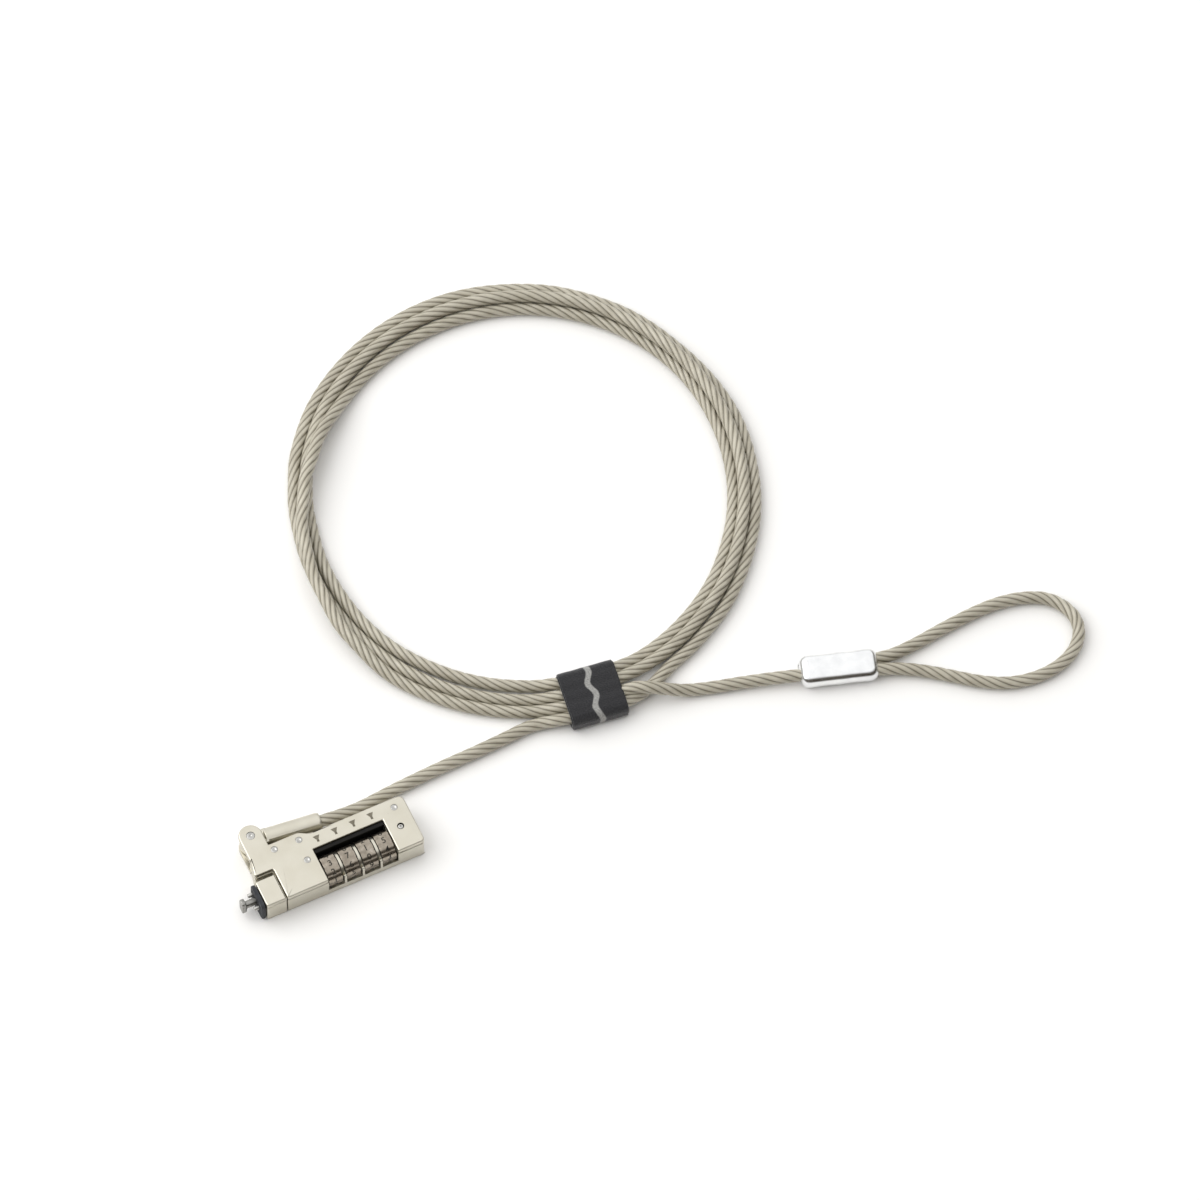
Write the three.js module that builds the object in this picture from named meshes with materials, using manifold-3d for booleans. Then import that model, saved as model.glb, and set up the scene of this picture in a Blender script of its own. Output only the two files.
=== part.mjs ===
// Laptop cable lock: a four-dial lock head with a T-bar, a swivelling cable arm,
// and 1.8 m of coated steel cable wound in a coil, tied, and crimped into an eye loop.
// Millimetres, +Z up. The head lies on its back with its barrel along X and the T-bar towards -X.
import * as THREE from "three";
import { mergeVertices } from "three/addons/utils/BufferGeometryUtils.js";
import Module from "manifold-3d";

const wasm = await Module();
wasm.setup();

// Driving dimensions. Places are measured from the head's front left corner.
const gap = 0.3;
const head = { left: 0.5, right: 58, front: -0.8, back: 18, backLeft: 19.9, height: 10.6 };
const seam = { low: 8.3, high: 8.6 };
const axis = { y: 4.9, z: 5.6 };
const dial = { count: 4, first: 25.4, pitch: 6.6, width: 5.1, radius: 5.3, bore: 4.3, grips: 10 };
const cam = { width: 1.4, bore: 2.65, radius: 4, gateWidth: 1.7, gateDepth: 3.45 };
const sleeve = { start: 2, end: 48, radius: 2.3, bore: 1.6, finReach: 3.1, finWidth: 1 };
const spindle = { radius: 1.3, tip: -7.4, end: 50.6 };
const cross = { thick: 1.5, tall: 6.4, wide: 2.8 };
const grip = { left: -0.3, right: 7, back: 9.1, notch: 1.9 };
const pad = { left: -2, right: -0.6, front: -0.5, back: 9, low: 0.5, high: 10.1 };
const guard = { radius: 0.75, offset: 2.6, tip: -3.8, root: 1.3 };
const pivot = { x: 5.6, y: 25.4, radius: 1.2, lug: 4.1, lugLow: 2.3 };
const arm = { angle: -6.5, knuckle: 3.8, start: 4.6, end: 24.5, radius: 3.25, mouth: 2.6, deep: 4, z: 5.45 };
const bay = { left: 22.45, right: 48.15, back: 12, slotLow: 3.2, slotSide: 0.35 };
const tick = { wide: 0.8, from: 13.7, to: 16.2, deep: 0.3 };
const pocket = { back: 16.6, floor: 1 };
const reset = { x: 52.7, y: 7.4, radius: 0.9, low: 4.3, high: 10.3 };
const rivets = [[10.7, 17.4], [19.1, 9.2], [19.6, 17.1], [53.6, 14.6]];
const cable = { radius: 2.2, sides: 8 };
const coil = { x: 143.6, y: 105.7, inner: 68.8, outer: 83.4, height: 8.9 };
const tie = { angle: 262.3, inner: 70.2, outer: 87.8, low: 1.4, high: 6.4, thick: 1.4, width: 20 };
const crimp = { x: 212.6, y: 1.4, angle: -17.9, length: 27, width: 11.4, tall: 7, wall: 1 };

const origin = {
  x: (spindle.tip + head.right) / 2,
  y: (head.front + pivot.y + pivot.lug) / 2,
};
const dialPlaces = Array.from({ length: dial.count }, (_, i) => dial.first + i * dial.pitch);

const finish = {
  nickel: { color: 0xd9d5c8, roughness: 0.34, metalness: 0.9 },
  steel: { color: 0xc9c8c4, roughness: 0.25, metalness: 1 },
  brass: { color: 0xb99b5a, roughness: 0.35, metalness: 1 },
  dialGrey: { color: 0x8d867a, roughness: 0.4, metalness: 0.8 },
  black: { color: 0x1c1b19, roughness: 0.55, metalness: 0 },
  cable: { color: 0x98927f, roughness: 0.35, metalness: 0.4 },
  aluminium: { color: 0xd4d5d6, roughness: 0.3, metalness: 1 },
  strap: { color: 0x2b2a2e, roughness: 0.95, metalness: 0 },
};

const lock = new THREE.Group();
lock.position.set(-origin.x, -origin.y, 0);

// A closed geometry as a solid that can be joined and cut.
function solid(geometry) {
  const bare = geometry.clone();
  bare.deleteAttribute("normal");
  bare.deleteAttribute("uv");
  const merged = mergeVertices(bare, 1e-4);
  return new wasm.Manifold(
    new wasm.Mesh({
      numProp: 3,
      vertProperties: merged.attributes.position.array,
      triVerts: new Uint32Array(merged.index.array),
    }),
  );
}

function geometryOf(made) {
  const mesh = made.getMesh();
  const geometry = new THREE.BufferGeometry();
  geometry.setAttribute("position", new THREE.BufferAttribute(mesh.vertProperties, 3));
  geometry.setIndex(new THREE.BufferAttribute(mesh.triVerts, 1));
  geometry.computeVertexNormals();
  return geometry;
}

function joined(base, ...others) {
  return geometryOf(others.reduce((made, other) => made.add(solid(other)), solid(base)));
}

function cut(base, ...tools) {
  return geometryOf(tools.reduce((made, tool) => made.subtract(solid(tool)), solid(base)));
}

function add(name, geometry, look) {
  const mesh = new THREE.Mesh(geometry, new THREE.MeshStandardMaterial(finish[look]));
  mesh.name = name;
  lock.add(mesh);
  return mesh;
}

function block(x, y, z) {
  const geometry = new THREE.BoxGeometry(x[1] - x[0], y[1] - y[0], z[1] - z[0]);
  return geometry.translate((x[0] + x[1]) / 2, (y[0] + y[1]) / 2, (z[0] + z[1]) / 2);
}

// A round rod standing along Z at (x, y).
function post(x, y, low, high, radius, sides = 24) {
  const geometry = new THREE.CylinderGeometry(radius, radius, high - low, sides);
  return geometry.rotateX(Math.PI / 2).translate(x, y, (low + high) / 2);
}

// A round rod along X, on the barrel axis unless y and z say otherwise.
function rod(from, to, radius, y = axis.y, z = axis.z, sides = 24) {
  const geometry = new THREE.CylinderGeometry(radius, radius, to - from, sides);
  return geometry.rotateZ(Math.PI / 2).translate((from + to) / 2, y, z);
}

// An outline whose corners [x, y, radius] are rounded.
function outline(corners) {
  const shape = new THREE.Shape();
  corners.forEach(([x, y, radius], i) => {
    const here = new THREE.Vector2(x, y);
    const before = new THREE.Vector2(...corners.at(i - 1));
    const after = new THREE.Vector2(...corners[(i + 1) % corners.length]);
    const enter = before.sub(here).setLength(radius).add(here);
    const leave = after.sub(here).setLength(radius).add(here);
    if (i === 0) shape.moveTo(enter.x, enter.y);
    else shape.lineTo(enter.x, enter.y);
    if (radius > 0) shape.quadraticCurveTo(x, y, leave.x, leave.y);
  });
  shape.closePath();
  return shape;
}

function boxOutline(x, y, radius) {
  return outline([[x[0], y[0], radius], [x[1], y[0], radius], [x[1], y[1], radius], [x[0], y[1], radius]]);
}

function plate(shape, low, high, curveSegments = 5) {
  const settings = { depth: high - low, bevelEnabled: false, curveSegments };
  return new THREE.ExtrudeGeometry(shape, settings).translate(0, 0, low);
}

// A profile drawn in Y and Z, extruded along X.
function alongX(shape, from, to, curveSegments = 5) {
  const turn = new THREE.Matrix4().set(0, 0, 1, 0, 1, 0, 0, 0, 0, 1, 0, 0, 0, 0, 0, 1);
  return plate(shape, from, to, curveSegments).applyMatrix4(turn);
}

function headOutline() {
  const notchLow = grip.back + grip.notch;
  return outline([
    [grip.right + gap, head.front, 0.4],
    [head.right, head.front, 1.6],
    [head.right, head.back, 2.6],
    [23.6, head.back, 1.2],
    [20.4, head.backLeft, 1.2],
    [2.4, head.backLeft, 1.6],
    [head.left, notchLow, 1],
    [grip.right + gap, notchLow, 0.6],
  ]);
}

function lugOutline() {
  const shape = new THREE.Shape();
  shape.moveTo(pivot.x - pivot.lug, head.backLeft - 3);
  shape.lineTo(pivot.x + pivot.lug, head.backLeft - 3);
  shape.lineTo(pivot.x + pivot.lug, pivot.y);
  shape.absarc(pivot.x, pivot.y, pivot.lug, 0, Math.PI, false);
  shape.closePath();
  return shape;
}

// The web between two dials: a disc just under the dials' rims, tied to the floor and front wall.
function separator(x) {
  const disc = rod(x - 0.45, x + 0.45, 4.85, axis.y, axis.z, 36);
  const web = block([x - 0.45, x + 0.45], [-0.4, 11.7], [0.6, 2.9]);
  const front = block([x - 0.45, x + 0.45], [-0.4, 2], [0.6, 6.5]);
  return joined(disc, web, front);
}

function housingLower() {
  const z = [-1, seam.high];
  const shell = cut(
    joined(plate(headOutline(), 0, seam.low), plate(lugOutline(), 0, pivot.lugLow, 12)),
    block([bay.left, bay.right], [0, 11.2], z),
    block([bay.left, bay.right], [0, pocket.back], [pocket.floor, seam.high]),
    rod(grip.right, bay.left + 1, sleeve.radius + gap),
    rod(bay.right - 1, spindle.end + gap, 2.9),
    post(reset.x, reset.y, pocket.floor, seam.high, reset.radius + gap),
    post(pivot.x, pivot.y, -1, pivot.lugLow + 1, pivot.radius + gap),
    ...rivets.map(([x, y]) => post(x, y, 4, seam.high, 1.2, 16)),
  );
  const webs = dialPlaces.slice(1).map((x) => separator(x - dial.pitch / 2));
  // Each dial shows through the front wall too, where a thumb turns it.
  const reach = dial.width / 2 + bay.slotSide;
  const slots = dialPlaces.map((x) => block([x - reach, x + reach], [head.front - 1, 0.5], [bay.slotLow, 11]));
  return cut(joined(shell, ...webs), rod(bay.left, bay.right, sleeve.radius + gap), ...slots);
}

function housingCover() {
  const ticks = dialPlaces.map((x) =>
    block(
      [x - tick.wide / 2, x + tick.wide / 2],
      [tick.from, tick.to],
      [head.height - tick.deep, head.height + 1],
    ),
  );
  const through = [seam.high - 1, head.height + 1];
  return cut(
    joined(plate(headOutline(), seam.high, head.height), plate(lugOutline(), seam.high, head.height, 12)),
    block([bay.left, bay.right], [head.front - 1, bay.back], through),
    post(reset.x, reset.y, ...through, reset.radius + gap),
    post(pivot.x, pivot.y, ...through, pivot.radius + gap),
    ...rivets.map(([x, y]) => post(x, y, ...through, 1.2, 16)),
    ...ticks,
  );
}

function addHousing() {
  add("housing_lower", housingLower(), "nickel");
  add("housing_cover", housingCover(), "nickel");
  rivets.forEach(([x, y], i) =>
    add(`cover_rivet_${i + 1}`, post(x, y, 4.3, head.height - 0.05, 0.9, 16), "steel"),
  );
  add("pivot_pin", post(pivot.x, pivot.y, 0.3, head.height - 0.1, pivot.radius), "steel");
}

// The black strip behind the dials that stops a shim from reaching the code cams.
function antiShimStrip() {
  const shape = outline([
    [11.25, 4, 0],
    [11.7, 4, 0],
    [11.7, 10, 0],
    [10.5, 10, 0],
    [10.5, 8.7, 0],
    [11.25, 7, 0],
  ]);
  return alongX(shape, bay.left + gap, bay.right - gap);
}

function detentSpring() {
  const base = block([bay.left + 0.5, bay.right - 0.5], [12.3, 15.8], [1.3, 1.7]);
  const fingers = dialPlaces.flatMap((x) => [
    block([x - 1.3, x + 1.3], [axis.y + 4, 12.5], [1.3, 1.7]),
    block([x - 1.3, x + 1.3], [axis.y + 4.3, axis.y + 4.7], [1.5, 2.3]),
  ]);
  return joined(base, ...fingers);
}

function gripOutline() {
  const shape = new THREE.Shape();
  const step = (2 * Math.PI) / dial.grips;
  const land = step * 0.34;
  for (let i = 0; i < dial.grips; i += 1) {
    const middle = Math.PI / 2 + i * step;
    [-land, 0, land].forEach((turn, j) => {
      const x = dial.radius * Math.cos(middle + turn);
      const y = dial.radius * Math.sin(middle + turn);
      if (i === 0 && j === 0) shape.moveTo(x, y);
      else shape.lineTo(x, y);
    });
    const root = dial.radius - 0.45;
    shape.lineTo(root * Math.cos(middle + step / 2), root * Math.sin(middle + step / 2));
  }
  shape.closePath();
  return shape;
}

function addDials() {
  dialPlaces.forEach((x, i) => {
    const half = dial.width / 2;
    const ring = alongX(gripOutline(), x - half, x + half).translate(0, axis.y, axis.z);
    const bore = rod(x - half - 1, x + half + 1, dial.bore, axis.y, axis.z, 32);
    add(`dial_${i + 1}`, cut(ring, bore), "dialGrey");
    const wheel = rod(x - cam.width / 2, x + cam.width / 2, cam.radius, axis.y, axis.z, 32);
    const hole = rod(x - 1, x + 1, cam.bore);
    const gate = block(
      [x - 1, x + 1],
      [axis.y - cam.gateWidth / 2, axis.y + cam.gateWidth / 2],
      [axis.z, axis.z + cam.gateDepth],
    );
    add(`code_cam_${i + 1}`, cut(wheel, hole, gate), "brass");
  });
}

// The T-bar: a fixed spindle through the whole barrel, with its crossbar upright.
function tBarSpindle() {
  const halfWide = cross.wide / 2;
  const halfTall = cross.tall / 2;
  const bar = boxOutline(
    [axis.y - halfWide, axis.y + halfWide],
    [axis.z - halfTall, axis.z + halfTall],
    0.9,
  );
  const crossbar = alongX(bar, spindle.tip, spindle.tip + cross.thick);
  return joined(crossbar, rod(spindle.tip + 0.5, spindle.end, spindle.radius));
}

function spindleNut() {
  const nut = rod(48.9, spindle.end - 0.1, 2.6, axis.y, axis.z, 6);
  return cut(nut, rod(48, spindle.end + 1, spindle.radius + gap));
}

// The locking sleeve slides over the spindle, and its fins pass the gates of the code cams.
function lockingSleeve() {
  const tube = rod(sleeve.start, sleeve.end, sleeve.radius);
  const half = sleeve.finWidth / 2;
  const fins = dialPlaces.map((x) =>
    block([x + 1, x + 1.8], [axis.y - half, axis.y + half], [axis.z + 2, axis.z + sleeve.finReach]),
  );
  return cut(joined(tube, ...fins), rod(0, sleeve.end + 1, sleeve.bore));
}

function guardHoles(from, to) {
  return [-1, 1].map((side) => rod(from, to, guard.radius + gap, axis.y + side * guard.offset));
}

function sliderGrip() {
  const body = plate(
    outline([
      [grip.left, head.front, 1],
      [grip.right, head.front, 0.3],
      [grip.right, grip.back, 0.3],
      [grip.left, grip.back, 1],
    ]),
    0,
    head.height,
  );
  const groove = [seam.low, seam.high];
  return cut(
    body,
    rod(sleeve.start - gap, grip.right + 1, sleeve.radius + gap),
    rod(grip.left - 1, sleeve.start, sleeve.bore),
    block([grip.left - 1, grip.right + 1], [head.front - 1, head.front + 0.4], groove),
    ...guardHoles(grip.left - 1, guard.root + gap),
  );
}

function collarPad() {
  const shape = boxOutline([pad.front, pad.back], [pad.low, pad.high], 1.6);
  return cut(
    alongX(shape, pad.left, pad.right),
    rod(pad.left - 1, pad.right + 1, sleeve.bore),
    ...guardHoles(pad.left - 1, pad.right + 1),
  );
}

function addSlider() {
  add("locking_sleeve", lockingSleeve(), "steel");
  add("slider_grip", sliderGrip(), "nickel");
  add("collar_pad", collarPad(), "black");
  [-1, 1].forEach((side, i) => {
    const pin = rod(guard.tip, guard.root, guard.radius, axis.y + side * guard.offset, axis.z, 16);
    add(`guard_pin_${i + 1}`, pin, "steel");
  });
}

function resetSpring() {
  const turns = 3;
  const steps = 36;
  const points = Array.from({ length: steps + 1 }, (_, i) => {
    const angle = (i / steps) * turns * 2 * Math.PI;
    const z = 1.55 + (i / steps) * 2.2;
    return new THREE.Vector3(reset.x + 0.65 * Math.cos(angle), reset.y + 0.65 * Math.sin(angle), z);
  });
  const wire = new THREE.Shape().absarc(0, 0, 0.2, 0, 2 * Math.PI, false);
  return sweep(wire, points, steps, 3);
}

// A section carried along a smooth curve through the points.
function sweep(section, points, steps, curveSegments) {
  const path = new THREE.CatmullRomCurve3(points, false, "centripetal");
  const settings = { steps, bevelEnabled: false, extrudePath: path, curveSegments };
  return new THREE.ExtrudeGeometry(section, settings);
}

function cableSection() {
  const corners = Array.from({ length: cable.sides }, (_, i) => {
    const angle = ((i + 0.5) / cable.sides) * 2 * Math.PI;
    return new THREE.Vector2(cable.radius * Math.cos(angle), cable.radius * Math.sin(angle));
  });
  return new THREE.Shape(corners);
}

// The arm turns about the pivot pin and holds the end of the cable.
function swivelArm() {
  const knuckle = post(0, 0, 2.7, 8.2, arm.knuckle, 32);
  const neck = block([2, arm.start + 1], [-2.6, 2.6], [2.9, 8]);
  const profile = [
    [0, arm.start],
    [arm.radius - 0.5, arm.start],
    [arm.radius, arm.start + 0.5],
    [arm.radius, arm.end - 0.9],
    [arm.mouth + 0.3, arm.end],
    [arm.mouth, arm.end],
    [arm.mouth, arm.end - arm.deep],
    [0, arm.end - arm.deep],
  ].map(([radius, along]) => new THREE.Vector2(radius, along));
  const tube = new THREE.LatheGeometry(profile, 28).rotateZ(-Math.PI / 2).translate(0, 0, arm.z);
  const hole = post(0, 0, 0, 12, pivot.radius + gap);
  return cut(joined(knuckle, neck, tube), hole);
}

function addArm() {
  const mesh = add("swivel_arm", swivelArm(), "nickel");
  mesh.position.set(pivot.x, pivot.y, 0);
  mesh.rotation.z = THREE.MathUtils.degToRad(arm.angle);
}

// Routes of the cable where it isn't coiled, from the arm to the coil, the coil to the crimp,
// and round the eye back to the crimp.
const leadRoute = [
  [26.9, 23, 5.45], [31, 22.5, 5.4], [35, 22.3, 4.9], [40, 22.5, 3.6], [45, 22.9, 2.6], [50, 23.4, 2.25],
  [58, 24.1, 2.25], [68, 24.7, 2.25], [78, 25.1, 2.25], [88, 25.3, 2.25], [96, 25.6, 2.25],
  [102, 25.9, 2.25], [107.5, 26.3, 2.25],
];
const tailRoute = [
  [156.5, 19.2, 4.6], [160.5, 17.3, 3.3], [164.5, 15.7, 2.6], [169, 14.1, 2.4], [174, 12.5, 2.4],
  [179.5, 11, 2.6], [186, 9.3, 2.9], [193, 7.4, 3.3], [199, 5.8, 3.5], [203, 4.6, 3.5],
];
const eyeRoute = [
  [222, 0.4, 3.5], [226, -0.8, 3.4], [232, -1.4, 2.8], [240, -0.9, 2.4], [248, 0.1, 2.25],
  [256, 0.9, 2.25], [264, 1.4, 2.25], [272, 1.2, 2.25], [280, -0.4, 2.25], [287, -3.7, 2.25],
  [292.2, -8.8, 2.25], [294.3, -15, 2.25], [292.6, -21.4, 2.25], [287.2, -26.4, 2.25],
  [279.5, -28.9, 2.25], [271, -29.3, 2.25], [262.5, -27.4, 2.25], [254.5, -23.2, 2.25],
  [247, -17.6, 2.25], [239.5, -12, 2.4], [232, -7.6, 2.8], [225, -4.8, 3.4], [221, -3.6, 3.5],
];

function run(route, steps) {
  return sweep(cableSection(), route.map((p) => new THREE.Vector3(...p)), steps, 1);
}

// The strap as a closed band of the given clearance round its own material.
function strapBand(extra) {
  const outer = boxOutline(
    [tie.inner - tie.thick - extra, tie.outer + tie.thick + extra],
    [tie.low - tie.thick - extra, tie.high + tie.thick + extra],
    2.4,
  );
  const inner = boxOutline(
    [tie.inner + extra, tie.outer - extra],
    [tie.low + extra, tie.high - extra],
    1.2,
  );
  outer.holes.push(inner);
  const half = tie.width / 2 + extra;
  const across = alongX(outer, -half, half);
  return across.rotateZ(THREE.MathUtils.degToRad(tie.angle - 90)).translate(coil.x, coil.y, 0);
}

function coilRing() {
  const { inner, outer, height } = coil;
  const corners = [
    [inner + 1.2, 0], [outer - 1.2, 0], [outer, 1.4], [outer, height - 3.6], [outer - 3.4, height],
    [inner + 3.4, height], [inner, height - 3.6], [inner, 1.4], [inner + 1.2, 0],
  ];
  const profile = corners.map(([radius, z]) => new THREE.Vector2(radius, z));
  const ring = new THREE.LatheGeometry(profile, 64).rotateX(Math.PI / 2).translate(coil.x, coil.y, 0);
  return cut(ring, strapBand(gap));
}

function crimpSleeve() {
  const side = crimp.width / 2;
  const outer = boxOutline([-side, side], [0, crimp.tall], crimp.tall / 2 - 0.01);
  const hole = boxOutline(
    [crimp.wall - side, side - crimp.wall],
    [crimp.wall, crimp.tall - crimp.wall],
    crimp.tall / 2 - crimp.wall - 0.01,
  );
  outer.holes.push(hole);
  return alongX(outer, -crimp.length / 2, crimp.length / 2, 8);
}

function addCable() {
  add("cable_lead", run(leadRoute, 22), "cable");
  add("cable_coil", coilRing(), "cable");
  add("cable_tail", run(tailRoute, 14), "cable");
  add("cable_eye", run(eyeRoute, 40), "cable");
  add("tie_strap", strapBand(0), "strap");
  const ferrule = add("crimp_sleeve", crimpSleeve(), "aluminium");
  ferrule.position.set(crimp.x, crimp.y, 0);
  ferrule.rotation.z = THREE.MathUtils.degToRad(crimp.angle);
}

addHousing();
add("anti_shim_strip", antiShimStrip(), "black");
add("detent_spring", detentSpring(), "steel");
addDials();
add("t_bar_spindle", tBarSpindle(), "steel");
add("spindle_nut", spindleNut(), "steel");
addSlider();
add("reset_pin", post(reset.x, reset.y, reset.low, reset.high, reset.radius, 20), "steel");
add("reset_spring", resetSpring(), "steel");
addArm();
addCable();

export default lock;
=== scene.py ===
# Laptop cable lock: the finished looks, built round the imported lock.
import math
import bmesh
import bpy
from mathutils import Matrix, Vector


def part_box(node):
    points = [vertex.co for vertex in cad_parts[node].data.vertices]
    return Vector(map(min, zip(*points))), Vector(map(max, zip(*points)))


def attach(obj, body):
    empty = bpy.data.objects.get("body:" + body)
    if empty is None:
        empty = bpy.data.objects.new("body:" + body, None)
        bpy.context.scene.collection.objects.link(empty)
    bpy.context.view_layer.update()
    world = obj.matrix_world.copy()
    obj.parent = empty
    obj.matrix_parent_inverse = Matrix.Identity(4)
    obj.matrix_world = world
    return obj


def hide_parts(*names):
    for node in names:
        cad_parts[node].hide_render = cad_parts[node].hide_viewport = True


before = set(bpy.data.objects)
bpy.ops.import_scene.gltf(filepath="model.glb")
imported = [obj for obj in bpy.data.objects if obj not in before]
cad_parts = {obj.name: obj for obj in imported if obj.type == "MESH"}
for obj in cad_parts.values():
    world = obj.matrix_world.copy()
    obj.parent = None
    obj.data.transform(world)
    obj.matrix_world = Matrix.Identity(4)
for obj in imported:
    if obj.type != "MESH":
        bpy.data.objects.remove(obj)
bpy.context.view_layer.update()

mm = 0.001
boxOf = {name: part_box(name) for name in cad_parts}
# Places are given in millimetres from the lock head's front left corner, as on its drawing.
corner = Vector((boxOf["t_bar_spindle"][0].x + 7.4 * mm, boxOf["housing_lower"][0].y + 0.8 * mm, 0))


def place(x, y, z=0.0):
    return corner + Vector((x, y, z)) * mm


# Helpers for nodes and colours.
def linear(hexText):
    channels = [int(hexText[i:i + 2], 16) / 255 for i in (0, 2, 4)]
    return [c / 12.92 if c <= 0.04045 else ((c + 0.055) / 1.055) ** 2.4 for c in channels] + [1.0]


def addNode(tree, kind, settings=None, inputs=None, links=None, stops=()):
    made = tree.nodes.new(kind)
    for key, value in (settings or {}).items():
        setattr(made, key, value)
    for key, value in (inputs or {}).items():
        made.inputs[key].default_value = value
    for key, source in (links or {}).items():
        tree.links.new(source, made.inputs[key])
    for index, (position, hexText) in enumerate(stops):
        if index >= len(made.color_ramp.elements):
            made.color_ramp.elements.new(position)
        made.color_ramp.elements[index].position = position
        made.color_ramp.elements[index].color = linear(hexText)
    return made


def newMaterial(name, **sockets):
    material = bpy.data.materials.new(name)
    material.use_nodes = True
    tree = material.node_tree
    shader = tree.nodes["Principled BSDF"]
    for key, value in sockets.items():
        shader.inputs[key.replace("_", " ")].default_value = value
    return material, tree, shader


# Camera, floor and lights.
camera = {"aim": (0.126, 0.046, 0.0), "azimuth": -25.1, "elevation": 63.6, "distance": 6.0, "across": 0.4056}


def makeCamera():
    azimuth, elevation = math.radians(camera["azimuth"]), math.radians(camera["elevation"])
    back = Vector((
        math.sin(azimuth) * math.cos(elevation),
        -math.cos(azimuth) * math.cos(elevation),
        math.sin(elevation),
    ))
    data = bpy.data.cameras.new("camera")
    data.sensor_width = 36
    data.lens = 36 * camera["distance"] / camera["across"]
    made = bpy.data.objects.new("camera", data)
    made.location = Vector(camera["aim"]) + back * camera["distance"]
    made.rotation_mode = "QUATERNION"
    made.rotation_quaternion = (-back).to_track_quat("-Z", "Y")
    bpy.context.scene.collection.objects.link(made)
    bpy.context.scene.camera = made


def makeArea(name, location, size, power):
    data = bpy.data.lights.new(name, "AREA")
    data.size = size
    data.energy = power
    made = bpy.data.objects.new(name, data)
    made.location = location
    direction = Vector(camera["aim"]) - Vector(location)
    made.rotation_mode = "QUATERNION"
    made.rotation_quaternion = direction.to_track_quat("-Z", "Y")
    bpy.context.scene.collection.objects.link(made)


# The room is white but for a dark band low in front, which edges and rims pick up.
studio = {
    "floor": "fbfaf8", "floorSize": 30, "world": 1.13, "lean": (0, 0.45, 1),
    "sky": [(0.0, "3d372f"), (0.34, "4f493f"), (0.58, "ffffff")],
    "lights": {"key": ((-0.95, 0.6, 1.25), 1.7, 15)},
}


def makeStudio():
    x, y, _ = camera["aim"]
    bpy.ops.mesh.primitive_plane_add(size=studio["floorSize"], location=(x, y, -0.0001))
    floor = bpy.context.object
    floor.name = "floor"
    material, tree, shader = newMaterial("matt white paper", Roughness=0.9)
    shader.inputs["Base Color"].default_value = linear(studio["floor"])
    floor.data.materials.append(material)
    world = bpy.data.worlds.new("soft studio")
    world.use_nodes = True
    tree = world.node_tree
    where = addNode(tree, "ShaderNodeTexCoord")
    height = addNode(
        tree, "ShaderNodeVectorMath", {"operation": "DOT_PRODUCT"}, {1: studio["lean"]},
        {0: where.outputs["Generated"]},
    )
    sky = addNode(tree, "ShaderNodeValToRGB", links={"Fac": height.outputs["Value"]}, stops=studio["sky"])
    path = addNode(tree, "ShaderNodeLightPath")
    mixed = addNode(
        tree, "ShaderNodeMix", {"data_type": "RGBA"}, {7: linear("ffffff")},
        {0: path.outputs["Is Camera Ray"], 6: sky.outputs["Color"]},
    )
    background = tree.nodes["Background"]
    background.inputs["Strength"].default_value = studio["world"]
    tree.links.new(mixed.outputs[2], background.inputs["Color"])
    bpy.context.scene.world = world
    bpy.context.scene.view_settings.view_transform = "Standard"
    for name, (location, size, power) in studio["lights"].items():
        makeArea(name, location, size, power)


makeCamera()
makeStudio()
print("camera and studio ready")

# The cable.
cable = {
    "radius": 2.2, "strands": 6, "lay": 27.0, "groove": 0.36, "around": 36, "step": 1.05,
    "tieAngle": 262.3, "turnStep": 3, "lift": 1.5, "liftFlat": 7, "liftFade": 8,
    "wires": 42, "wireSlant": 1.1,
}
coilCentre = (boxOf["cable_coil"][0] + boxOf["cable_coil"][1]) / 2
coilCentre.z = 0

# Listed stretches, repeated from the part's source: from the arm to the coil, from the coil
# to the crimp and round the eye.
leadRoute = [
    (26.9, 23, 5.45), (31, 22.5, 5.4), (35, 22.3, 4.9), (40, 22.5, 3.6), (45, 22.9, 2.6), (50, 23.4, 2.25),
    (58, 24.1, 2.25), (68, 24.7, 2.25), (78, 25.1, 2.25), (88, 25.3, 2.25), (96, 25.6, 2.25),
    (102, 25.9, 2.25), (107.5, 26.3, 2.25),
]
joinRoute = [(113, 25.7, 2.5), (118.5, 24.0, 3.2)]
crossRoute = [(146.5, 22.8, 6.4), (151, 20.4, 6.9)]
tailRoute = [
    (156.5, 18.1, 5.2), (160.5, 16.6, 3.6), (164.5, 15.4, 2.6), (169, 14.0, 2.4), (174, 12.6, 2.4),
    (179.5, 11.1, 2.6), (186, 9.1, 2.9), (193, 6.8, 3.3), (199, 4.7, 3.5), (206, 1.8, 3.5), (214, -1.3, 3.5),
]
eyeRoute = [
    (221, -3.6, 3.5), (225, -4.8, 3.4), (232, -7.6, 2.8), (239.5, -12, 2.4), (247, -17.6, 2.25),
    (254.5, -23.2, 2.25), (262.5, -27.4, 2.25), (271, -29.3, 2.25), (279.5, -28.9, 2.25),
    (286.6, -26.2, 2.25), (291.6, -21.3, 2.25), (293.3, -15, 2.25), (291.4, -8.8, 2.25),
    (287, -3.7, 2.25), (280, -0.4, 2.25), (272, 1.2, 2.25), (264, 1.4, 2.25), (256, 0.9, 2.25),
    (248, 0.1, 2.25), (240, -0.9, 2.4), (232, -1.4, 2.8), (226, -0.8, 3.4), (222, 0.5, 3.5),
    (212, 3.9, 3.5), (202, 7.1, 3.5),
]
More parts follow.
